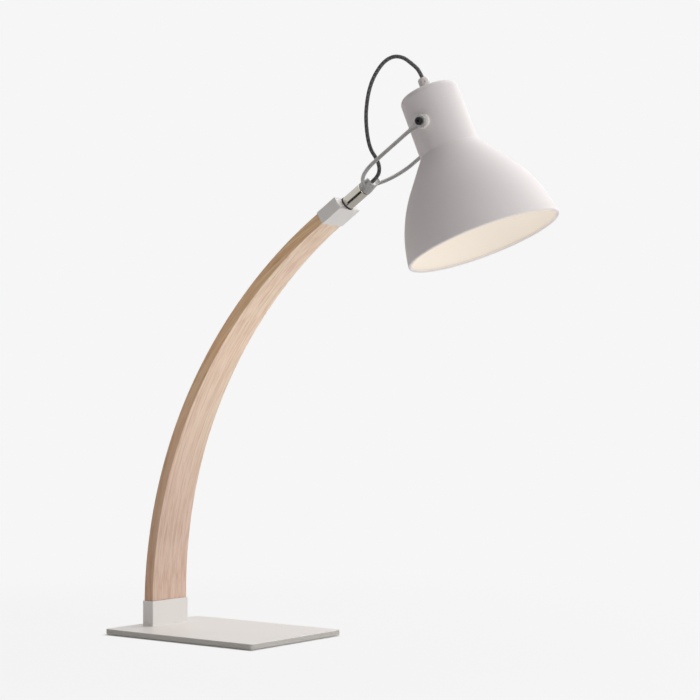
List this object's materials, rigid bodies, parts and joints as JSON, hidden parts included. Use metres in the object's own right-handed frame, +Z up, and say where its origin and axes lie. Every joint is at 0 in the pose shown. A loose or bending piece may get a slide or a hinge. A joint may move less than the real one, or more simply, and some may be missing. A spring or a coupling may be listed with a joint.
{
  "type": "desk lamp",
  "caption": "Desk lamp with a bent ash arm on a flat steel plate and a spun bell shade held in a wire yoke that swivels on a nickel stem and tilts on its pivot screws.",
  "frame": {"origin": "centre of the base's underside, on the table top", "axes": "+Z up; +X the way the arm leans, from the foot towards the shade; +Y to the left of that way"},
  "size_m": [0.4633, 0.1507, 0.5523],
  "materials": {
    "plate_paint": "fine matt powder coat, warm white",
    "ferrule_paint": "fine matt powder coat, warm white",
    "shade_paint": "spun aluminium, matt white paint outside, warm cream inside",
    "grey_paint": "grey satin coat",
    "ash": "bent ash, clear matt oil",
    "nickel": "polished nickel plate",
    "black_steel": "black oxide steel",
    "zinc": "zinc plated steel",
    "pad_rubber": "matt black rubber sheet",
    "washer_rubber": "matt black",
    "bush": "off-white nylon",
    "white_plastic": "white nylon",
    "holder_black": "black thermoplastic",
    "ceramic": "white insulating ceramic",
    "brass": "plain brass",
    "textile": "woven black and white cotton braid",
    "lead_sheath": "silicone sheath"
  },
  "bodies": {
    "stand": {"base_plate": "plate_paint", "base_pad": "pad_rubber", "foot_ferrule": "ferrule_paint", "base_screws": "zinc", "cord_inlet": "bush", "wood_arm": "ash", "inner_lead": "lead_sheath", "top_ferrule": "ferrule_paint", "ferrule_screws": "zinc", "stem_washer": "washer_rubber", "stem": "nickel"},
    "yoke": {"swivel_washer": "washer_rubber", "yoke_block": "grey_paint", "swivel_screw": "black_steel", "yoke_leg_near": "grey_paint", "yoke_leg_far": "grey_paint", "cable_loop": "textile"},
    "head": {"shade": "shade_paint", "pivot_spacers": "white_plastic", "friction_washers": "white_plastic", "pivot_screws": "black_steel", "lock_nuts": "zinc", "cord_grip": "white_plastic", "grip_screw": "zinc", "holder_nipple": "brass", "nipple_nut": "zinc", "holder_cap": "holder_black", "holder_skirt": "holder_black", "contact_base": "ceramic", "screw_shell": "brass", "centre_contact": "brass"}
  },
  "joints": [
    {"name": "head_swivel", "type": "hinge", "parent": "stand", "child": "yoke", "pos_m": [0.15452, 0, 0.41781], "axis": [0.8434, 0, 0.5373], "range_deg": [-90, 90]},
    {"name": "head_tilt", "type": "hinge", "parent": "yoke", "child": "head", "pos_m": [0.25978, 0, 0.48487], "axis": [-0.0515, 0.9954, 0.0808], "range_deg": [-60, 30], "deforming": ["cable_loop"]}
  ]
}
